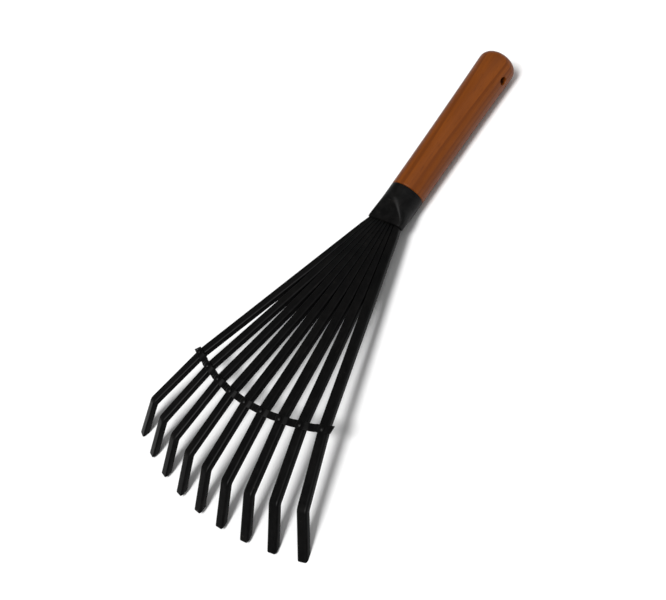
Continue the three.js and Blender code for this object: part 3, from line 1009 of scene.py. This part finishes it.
@dataclass
class FanLayout:
    """The line that every tine's crown follows, and the angles that the tines stand at."""

    count: int = 9
    pitch: float = math.radians(5.18)
    apex_to_mouth: float = Frames.apex_to_mouth
    shank_length: float = 4.4
    seam_end: float = 12.0
    channel_start: float = 30.0
    crown_at_mouth: float = Frames().crown_at_mouth()
    neck_slope: float = math.radians(5.2)
    brace_slope: float = math.radians(13.9)
    tip_slope: float = math.radians(43.6)
    brace_radius: float = 213.7
    brace_to_elbow: float = 59.6
    elbow_to_tip: float = 37.3
    brace_bend: float = 30.0
    elbow_bend: float = 9.0
    strap_beyond_bend: float = 1.6
    width: float = 8.8
    shank_ease: float = 1.2
    gap: float = Frames.seat_gap
    longest_step: float = 6.0
    bend_steps: int = 8

    def free_half_width(self, along: float) -> float:
        """Half a tine's width on a side with no neighbour, eased in from the seam to the shank."""
        seam = self.apex_to_mouth + self.seam_end
        eased = clamp((seam - along) / (self.seam_end + self.shank_length))
        return self.width / 2 - self.shank_ease * eased

    def shanks_half_width(self) -> float:
        """Half the width of all the shanks together, at the socket's mouth."""
        outer, mouth = self.angles()[-1], self.apex_to_mouth
        return mouth * math.tan(outer) + self.free_half_width(mouth) / math.cos(outer)

    def angles(self) -> list[float]:
        """The angle of each tine, from the left one to the right one."""
        return [(number - (self.count - 1) / 2) * self.pitch for number in range(self.count)]

    def corners(self) -> list[Corner]:
        """The corners of the crown line, out from the shank's end.

        Returns:
            The corners, with the bends at the brace and at the elbow.
        """
        full = (self.width + self.gap) / 2 / math.tan(self.pitch / 2)
        reach = sorted([self.apex_to_mouth - self.shank_length, self.apex_to_mouth,
                        self.apex_to_mouth + self.seam_end / 2,
                        self.apex_to_mouth + self.seam_end,
                        self.apex_to_mouth + self.channel_start, full])

        def neck_up(along: float) -> float:
            """The crown's height where it is still straight."""
            return self.crown_at_mouth - (along - self.apex_to_mouth) * math.tan(self.neck_slope)

        brace = Corner(self.brace_radius, neck_up(self.brace_radius), self.brace_bend)
        elbow = Corner(brace.along + self.brace_to_elbow * math.cos(self.brace_slope),
                       brace.up - self.brace_to_elbow * math.sin(self.brace_slope),
                       self.elbow_bend)
        tip = Corner(elbow.along + self.elbow_to_tip * math.cos(self.tip_slope),
                     elbow.up - self.elbow_to_tip * math.sin(self.tip_slope))
        return [*[Corner(along, neck_up(along)) for along in reach], brace, elbow, tip]

    def crown(self) -> list[Station]:
        """The crown line itself, in short steps."""
        return filled_in(rounded_line(self.corners(), self.bend_steps), self.longest_step)

    def brace_seat(self) -> Station:
        """Finds the place on the brace bend, a little beyond its middle, that the strap sits on.

        Returns:
            The station there.
        """
        corner = next(c for c in self.corners() if c.bend == self.brace_bend)
        middle = (self.neck_slope + self.brace_slope) / 2
        inward = self.brace_bend / math.cos((self.brace_slope - self.neck_slope) / 2)
        centre = Station(corner.along, corner.up, middle).off(-inward)
        slope = middle + self.strap_beyond_bend / self.brace_bend
        return Station(*Station(*centre, slope).off(self.brace_bend), slope)


@dataclass
class Tines(SubAssembly):
    """The tines: arched channels that close to a seam and crowd together in the socket."""

    layout: FanLayout
    depth: float = Frames.tine_depth
    sheet: float = Frames.tine_sheet
    corner: float = 1.8
    seam: float = 0.4
    flank: float = 0.7
    tip_cutback: float = 5.5
    edge_softness: float = 0.22
    edge_clearance: float = 1.0
    corner_steps: int = 6
    inner_steps: int = 3

    def section(self) -> list[tuple[float, float, bool]]:
        """Draws the channel's section, whose flanks have a corner at a share of the depth.

        Returns:
            Each corner: across, up from the crown, and whether it lines the hollow.
        """
        half, inner = self.layout.width / 2, self.layout.width / 2 - self.sheet
        inner_corner = self.corner - self.sheet
        roof = -self.sheet - inner_corner
        outside = [(half, -self.depth), (half, -self.depth * self.flank),
                   *arc((half - self.corner, -self.corner), self.corner, 0, QUARTER,
                        self.corner_steps),
                   *arc((self.corner - half, -self.corner), self.corner, QUARTER, math.pi,
                        self.corner_steps),
                   (-half, -self.depth * self.flank), (-half, -self.depth)]
        inside = [(inner, -self.depth),
                  *arc((inner - inner_corner, roof), inner_corner, 0, QUARTER, self.inner_steps),
                  *arc((inner_corner - inner, roof), inner_corner, QUARTER, math.pi,
                       self.inner_steps),
                  (-inner, -self.depth)]
        return [(x, y, False) for x, y in outside] + [(x, y, True) for x, y in reversed(inside)]

    def half_width(self, number: int, side: Side, along: float) -> float:
        """Half the width of a tine on one side, at a distance from the apex.

        Args:
            number: The tine, from 1 on the left.
            side: Which side of it.
            along: The distance from the apex.

        Returns:
            The half width, which narrows beside a neighbour and eases in at a free shank.
        """
        layout = self.layout
        beside = number > 1 if side is Side.LEFT else number < layout.count
        if beside:
            return min(layout.width / 2, along * math.tan(layout.pitch / 2) - layout.gap / 2)
        return layout.free_half_width(along)

    def channel_depth(self, along: float) -> float:
        """How deep the hollow is, from its mouth to under the crown's sheet.

        Args:
            along: The distance from the apex.

        Returns:
            The depth: only a seam at the neck, and the whole channel further out.
        """
        layout = self.layout
        share = clamp((along - layout.apex_to_mouth - layout.seam_end)
                      / (layout.channel_start - layout.seam_end))
        return lerp(self.seam, self.depth - self.sheet, share)

    def tine(self, number: int) -> BMesh:
        """Sweeps one tine along the crown line.

        Args:
            number: The tine, from 1 on the left.

        Returns:
            The tine, along -Y.
        """
        section, crown = self.section(), self.layout.crown()
        half, full = self.layout.width / 2, self.depth - self.sheet
        inner = half - self.sheet
        lines_hollow = {(x, y): hollow for x, y, hollow in section}

        def place(x: float, y: float, index: int) -> Vector:
            """The point of the tine for a corner of the section at a station.

            Args:
                x: The corner's place across.
                y: Its height from the crown.
                index: Which station.

            Returns:
                The point.
            """
            station = crown[index]
            side = Side.LEFT if x < 0 else Side.RIGHT
            wide = self.half_width(number, side, station.along)
            if lines_hollow[(x, y)]:
                across = x / inner * (wide - self.sheet)
                outward = (y + self.depth) / full * self.channel_depth(station.along) - self.depth
            else:
                across, outward = x / half * wide, y
            cutback = self.tip_cutback * outward / self.depth if index == len(crown) - 1 else 0
            along, up = station.off(outward, cutback)
            return Vector((across, -along, up))

        bm = sweep([(x, y) for x, y, _ in section], len(crown), place)
        start = self.layout.apex_to_mouth + self.layout.channel_start + self.edge_clearance
        soften(bm, self.edge_softness, segments=3, sharper_than=42,
               where=lambda edge: all(vert.co.y < -start for vert in edge.verts))
        return bm

    def build(self) -> list[Object]:
        """Presses each tine and turns it to its place in the fan.

        Returns:
            The tines, from the left.
        """
        pieces = []
        for number, angle in enumerate(self.layout.angles(), 1):
            place = self.frames.fan() @ Matrix.Rotation(angle, 4, "Z")
            pieces.append(self.publish(self.tine(number), f"channel_tine_{number}", place,
                                       BLACK_ENAMEL, [f"tine_{number}"]))
        return pieces


@dataclass
class CrossBrace(SubAssembly):
    """The strap that hugs the tines along an arc, and the rivet through it and each tine."""

    layout: FanLayout
    width: float = 5.8
    thickness: float = 1.4
    dip: float = 1.2
    slope_run: float = 3.0
    bend: float = 2.0
    short_end: float = 0.2
    long_end: float = 4.4
    shear: float = 2.5
    edge_softness: float = 0.3
    rivet_radius: float = 1.5
    head_radius: float = 2.6
    head_height: float = 1.1
    head_edge: float = 0.3
    tail_radius: float = 2.2
    tail_height: float = 0.9
    tail_rounding: float = 0.3
    tine_sheet: float = Frames.tine_sheet
    bend_steps: int = 4
    turns: int = 40
    tail_steps: int = 3
    dome_steps: int = 10

    def line(self) -> list[Station]:
        """Draws the strap's underside along the arc: over each tine and down between them.

        Returns:
            The stations, from the left end to the right one.
        """
        top, over = self.layout.gap, self.layout.width / 2
        reach = self.layout.brace_seat().along
        at = [reach * angle for angle in self.layout.angles()]
        corners = [Corner(at[0] - over - self.short_end, top)]
        for here, after in zip(at, at[1:]):
            corners += [Corner(here + over, top, self.bend),
                        Corner(here + over + self.slope_run, top - self.dip, self.bend),
                        Corner(after - over - self.slope_run, top - self.dip, self.bend),
                        Corner(after - over, top, self.bend)]
        corners.append(Corner(at[-1] + over + self.long_end, top))
        return rounded_line(corners, self.bend_steps)

    def strap(self) -> BMesh:
        """Bends the strap over the tines and shears both ends at a slant.

        Returns:
            The strap.
        """
        seat, line = self.layout.brace_seat(), self.line()
        half, last = self.width / 2, len(line) - 1

        def place(x: float, y: float, index: int) -> Vector:
            """The point of the strap for a corner of its section at a station.

            Args:
                x: The corner's place across the strap.
                y: Its height in the strap.
                index: Which station.

            Returns:
                The point.
            """
            along, up = line[index].off(y)
            sheared = x / half * self.shear / 2 if index in (0, last) else 0
            angle = (along + sheared) / seat.along
            reach, height = seat.off(up, -x)
            return Vector((reach * math.sin(angle), -reach * math.cos(angle), height))

        section = [(-half, 0), (0, 0), (half, 0), (half, self.thickness), (0, self.thickness),
                   (-half, self.thickness)]
        bm = sweep(section, len(line), place)
        soften(bm, self.edge_softness, segments=3, sharper_than=60)
        return bm

    def rivet(self) -> BMesh:
        """Turns one rivet, with a domed head for the strap and a set tail for the tine.

        Returns:
            The rivet, along Y.
        """
        seat = self.thickness + 2 * self.layout.gap
        tail = -self.tine_sheet - self.layout.gap
        tail_corner = (self.tail_radius - self.tail_rounding,
                       tail - self.tail_height + self.tail_rounding)
        outline = [(0.0, tail - self.tail_height),
                   *arc(tail_corner, self.tail_rounding, -QUARTER, 0, self.tail_steps),
                   (self.tail_radius, tail), (self.rivet_radius, tail), (self.rivet_radius, seat),
                   *domed_head(self.head_radius, self.head_height, seat, self.head_edge,
                               self.dome_steps)]
        return lathe(outline, self.turns)

    def rivet_place(self, angle: float) -> Matrix:
        """Seats a rivet on the strap, square to the crown of its tine.

        Args:
            angle: The angle that the tine stands at.

        Returns:
            The matrix from the rivet to the fan frame.
        """
        seat = self.layout.brace_seat()
        outward = Vector((math.sin(angle), -math.cos(angle), 0))
        point = outward * seat.along + Vector((0, 0, seat.up))
        axis = outward * math.sin(seat.slope) + Vector((0, 0, math.cos(seat.slope)))
        turn: Quaternion = Vector((0, 1, 0)).rotation_difference(axis)
        return Matrix.Translation(point) @ turn.to_matrix().to_4x4()

    def build(self) -> list[Object]:
        """Bends the strap and sets its rivets.

        Returns:
            The strap, then the rivets from the left.
        """
        fan = self.frames.fan()
        pieces = [self.publish(self.strap(), "bent_strap", fan, BLACK_ENAMEL, ["cross_brace"])]
        for number, angle in enumerate(self.layout.angles(), 1):
            pieces.append(self.publish(self.rivet(), f"domed_rivet_{number}",
                                       fan @ self.rivet_place(angle), RIVET_ENAMEL,
                                       [f"brace_rivet_{number}"]))
        return pieces


@dataclass
class NeckPlate(SubAssembly):
    """The plate under the shanks, which keeps its own solid and only gets its finish."""

    def build(self) -> list[Object]:
        """Dresses the plate's solid.

        Returns:
            The plate.
        """
        plate = frame["nodes"]["neck_plate"]
        self.dress(plate, BLACK_ENAMEL)
        LOG.info("neck_plate: dressed in %s", BLACK_ENAMEL.name)
        return [plate]


# ---- Studio ----


@dataclass(frozen=True)
class Viewpoint:
    """Where the camera stands: its aim, direction, distance, roll, lens and nearest reach."""

    aim: Vector = Vector((-0.0003, -0.02806, 0.01476))
    azimuth: float = math.radians(-14.763)
    elevation: float = math.radians(45.783)
    roll: float = math.radians(-44.134)
    distance: float = 0.7202
    lens: float = 49.13
    nearest: float = 0.01

    def matrix(self) -> Matrix:
        """Works out the camera's place and turn.

        Returns:
            The camera's matrix.
        """
        back = Vector((math.cos(self.elevation) * math.cos(self.azimuth),
                       math.cos(self.elevation) * math.sin(self.azimuth),
                       math.sin(self.elevation)))
        level = Vector((0, 0, 1)).cross(back).normalized()
        upright = back.cross(level)
        right = level * math.cos(self.roll) + upright * math.sin(self.roll)
        up = back.cross(right)
        turn = Matrix((right, up, back)).transposed().to_4x4()
        return Matrix.Translation(self.aim + back * self.distance) @ turn


@dataclass(frozen=True)
class SoftLight:
    """A wide studio light, as far off as the sun, with the angle that its disc fills."""

    name: str
    direction: Vector
    spread: float
    strength: float


@dataclass
class Studio:
    """A pale floor, a dim soft sky and broad lights."""

    view: Viewpoint = Viewpoint()
    floor_size: float = 12.0
    floor_tone: Colour = (0.92, 0.92, 0.92, 1)
    floor_roughness: float = 0.9
    sky: float = 0.26
    sky_tone: Colour = (1, 1, 1, 1)
    lights: tuple[SoftLight, ...] = (
        SoftLight("key", Vector((0.19, -0.37, 1.0)), math.radians(24), 2.9),
        SoftLight("fill", Vector((0.7, 0.5, 0.8)), math.radians(60), 0.5),
    )

    def floor(self) -> None:
        """Lays the floor just under the tips and the butt."""
        bm = bmesh.new()
        bmesh.ops.create_grid(bm, x_segments=1, y_segments=1, size=self.floor_size / 2)
        floor = as_object(bm, "studio_floor")
        material = bpy.data.materials.new("studio_floor")
        material.use_nodes = True
        Graph(material.node_tree).feed(material.node_tree.nodes["Principled BSDF"], {
            "Base Color": self.floor_tone, "Roughness": self.floor_roughness,
            "Specular IOR Level": 0.0})
        floor.data.materials.append(material)

    def light(self) -> None:
        """Hangs the lights and sets the sky."""
        for soft in self.lights:
            data = bpy.data.lights.new(soft.name, "SUN")
            data.angle, data.energy = soft.spread, soft.strength
            lamp = bpy.data.objects.new(soft.name, data)
            lamp.rotation_euler = soft.direction.to_track_quat("Z", "Y").to_euler()
            bpy.context.scene.collection.objects.link(lamp)
        world = bpy.data.worlds.new("studio")
        world.use_nodes = True
        Graph(world.node_tree).feed(world.node_tree.nodes["Background"],
                                    {"Color": self.sky_tone, "Strength": self.sky})
        bpy.context.scene.world = world

    def camera(self) -> None:
        """Sets up the camera."""
        data = bpy.data.cameras.new("camera")
        data.lens, data.clip_start = self.view.lens, self.view.nearest
        camera = bpy.data.objects.new("camera", data)
        camera.matrix_world = self.view.matrix()
        bpy.context.scene.collection.objects.link(camera)
        bpy.context.scene.camera = camera

    def build(self) -> None:
        """Sets up the whole studio."""
        bpy.context.scene.view_settings.view_transform = "Standard"
        self.floor()
        self.light()
        self.camera()


def main() -> None:
    """Builds the rake, sub-assembly by sub-assembly, and the studio round it."""
    logging.basicConfig(level=logging.INFO, format="%(name)s: %(message)s")
    frames, layout = Frames(), FanLayout()
    assemblies: list[SubAssembly] = [
        Handle(frames), Socket(frames, layout), HandleScrew(frames), Tines(frames, layout),
        CrossBrace(frames, layout), NeckPlate(frames),
    ]
    for assembly in assemblies:
        pieces = assembly.build()
        LOG.info("%s: %d pieces", type(assembly).__name__, len(pieces))
    Studio().build()


if __name__ == "__main__":
    main()
